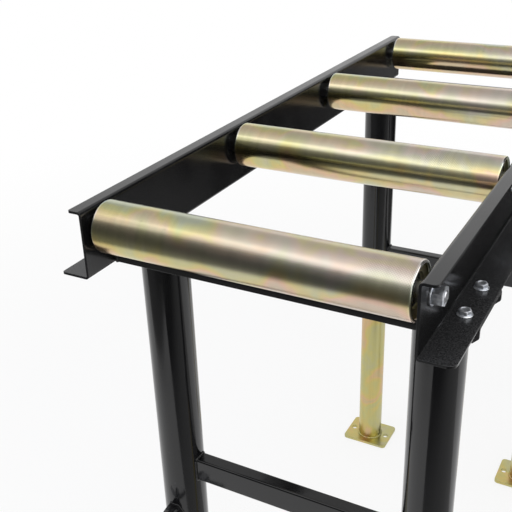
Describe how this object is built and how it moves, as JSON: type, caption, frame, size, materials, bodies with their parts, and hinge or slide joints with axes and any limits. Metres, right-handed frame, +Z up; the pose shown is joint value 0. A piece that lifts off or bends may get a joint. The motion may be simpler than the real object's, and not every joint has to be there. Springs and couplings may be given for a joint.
{
  "type": "roller stand",
  "caption": "Height-adjustable roller stand: steel rollers between two channel rails, on telescopic clamped legs with foot plates.",
  "frame": {"origin": "on the floor, below the middle of the stand, at the foot plates' underside", "axes": "+X along the rollers, +Y along the rails away from the end shown nearest in the picture, +Z up"},
  "size_m": [0.45, 1, 0.9],
  "materials": {
    "rail_paint": "black semi-gloss paint on sheet steel",
    "leg_paint": "black semi-gloss paint on steel tube",
    "yellow_chromate_tube": "turned, yellow-chromated zinc",
    "yellow_chromate_cup": "pressed, yellow-chromated zinc",
    "yellow_chromate_leg": "drawn tube, yellow-chromated zinc",
    "plain_zinc": "dull zinc plate",
    "bright_zinc": "bright zinc plate",
    "bearing_steel": "ground bearing steel",
    "seal_rubber": "black rubber"
  },
  "bodies": {
    "frame": {"rail_left": "rail_paint", "rail_right": "rail_paint", "cross_bar_front": "rail_paint", "cross_bar_rear": "rail_paint", "axle_1": "plain_zinc", "axle_2": "plain_zinc", "axle_3": "plain_zinc", "axle_4": "plain_zinc", "axle_spacers": "plain_zinc", "axle_washers": "bright_zinc", "axle_nuts": "bright_zinc", "bearing_inner_rings": "bearing_steel", "saddle_front_left": "leg_paint", "saddle_front_right": "leg_paint", "saddle_rear_left": "leg_paint", "saddle_rear_right": "leg_paint", "outer_leg_front_left": "leg_paint", "outer_leg_front_right": "leg_paint", "outer_leg_rear_left": "leg_paint", "outer_leg_rear_right": "leg_paint", "saddle_bolts": "bright_zinc", "saddle_nuts": "bright_zinc", "brace_front": "leg_paint", "brace_rear": "leg_paint", "clamp_nuts": "leg_paint"},
    "roller_1": {"roller_tube_1": "yellow_chromate_tube", "bearing_cups_1": "yellow_chromate_cup", "bearing_outer_rings_1": "bearing_steel", "bearing_balls_1": "bearing_steel", "bearing_seals_1": "seal_rubber"},
    "roller_2": {"roller_tube_2": "yellow_chromate_tube", "bearing_cups_2": "yellow_chromate_cup", "bearing_outer_rings_2": "bearing_steel", "bearing_balls_2": "bearing_steel", "bearing_seals_2": "seal_rubber"},
    "roller_3": {"roller_tube_3": "yellow_chromate_tube", "bearing_cups_3": "yellow_chromate_cup", "bearing_outer_rings_3": "bearing_steel", "bearing_balls_3": "bearing_steel", "bearing_seals_3": "seal_rubber"},
    "roller_4": {"roller_tube_4": "yellow_chromate_tube", "bearing_cups_4": "yellow_chromate_cup", "bearing_outer_rings_4": "bearing_steel", "bearing_balls_4": "bearing_steel", "bearing_seals_4": "seal_rubber"},
    "leg_front_left": {"inner_leg_front_left": "yellow_chromate_leg", "foot_front_left": "yellow_chromate_leg"},
    "leg_front_right": {"inner_leg_front_right": "yellow_chromate_leg", "foot_front_right": "yellow_chromate_leg"},
    "leg_rear_left": {"inner_leg_rear_left": "yellow_chromate_leg", "foot_rear_left": "yellow_chromate_leg"},
    "leg_rear_right": {"inner_leg_rear_right": "yellow_chromate_leg", "foot_rear_right": "yellow_chromate_leg"},
    "clamp_front_left": {"clamp_screw_front_left": "plain_zinc"},
    "clamp_front_right": {"clamp_screw_front_right": "plain_zinc"},
    "clamp_rear_left": {"clamp_screw_rear_left": "plain_zinc"},
    "clamp_rear_right": {"clamp_screw_rear_right": "plain_zinc"}
  },
  "joints": [
    {"name": "roller_1_spin", "type": "hinge", "parent": "frame", "child": "roller_1", "pos_m": [0, -0.4665, 0.87], "axis": [1, 0, 0], "continuous": true},
    {"name": "roller_2_spin", "type": "hinge", "parent": "frame", "child": "roller_2", "pos_m": [0, -0.1555, 0.87], "axis": [1, 0, 0], "continuous": true},
    {"name": "roller_3_spin", "type": "hinge", "parent": "frame", "child": "roller_3", "pos_m": [0, 0.1555, 0.87], "axis": [1, 0, 0], "continuous": true},
    {"name": "roller_4_spin", "type": "hinge", "parent": "frame", "child": "roller_4", "pos_m": [0, 0.4665, 0.87], "axis": [1, 0, 0], "continuous": true},
    {"name": "leg_front_left_slide", "type": "slide", "parent": "frame", "child": "leg_front_left", "axis": [0, 0, 1], "range_m": [-0.1, 0.225]},
    {"name": "leg_front_right_slide", "type": "slide", "parent": "frame", "child": "leg_front_right", "axis": [0, 0, 1], "range_m": [-0.1, 0.225]},
    {"name": "leg_rear_left_slide", "type": "slide", "parent": "frame", "child": "leg_rear_left", "axis": [0, 0, 1], "range_m": [-0.1, 0.225]},
    {"name": "leg_rear_right_slide", "type": "slide", "parent": "frame", "child": "leg_rear_right", "axis": [0, 0, 1], "range_m": [-0.1, 0.225]},
    {"name": "clamp_front_left_turn", "type": "hinge", "parent": "frame", "child": "clamp_front_left", "pos_m": [-0.175, -0.372, 0.407], "axis": [0, -1, 0], "range_deg": [0, 360]},
    {"name": "clamp_front_right_turn", "type": "hinge", "parent": "frame", "child": "clamp_front_right", "pos_m": [0.175, -0.372, 0.407], "axis": [0, -1, 0], "range_deg": [0, 360]},
    {"name": "clamp_rear_left_turn", "type": "hinge", "parent": "frame", "child": "clamp_rear_left", "pos_m": [-0.175, 0.372, 0.407], "axis": [0, 1, 0], "range_deg": [0, 360]},
    {"name": "clamp_rear_right_turn", "type": "hinge", "parent": "frame", "child": "clamp_rear_right", "pos_m": [0.175, 0.372, 0.407], "axis": [0, 1, 0], "range_deg": [0, 360]}
  ]
}
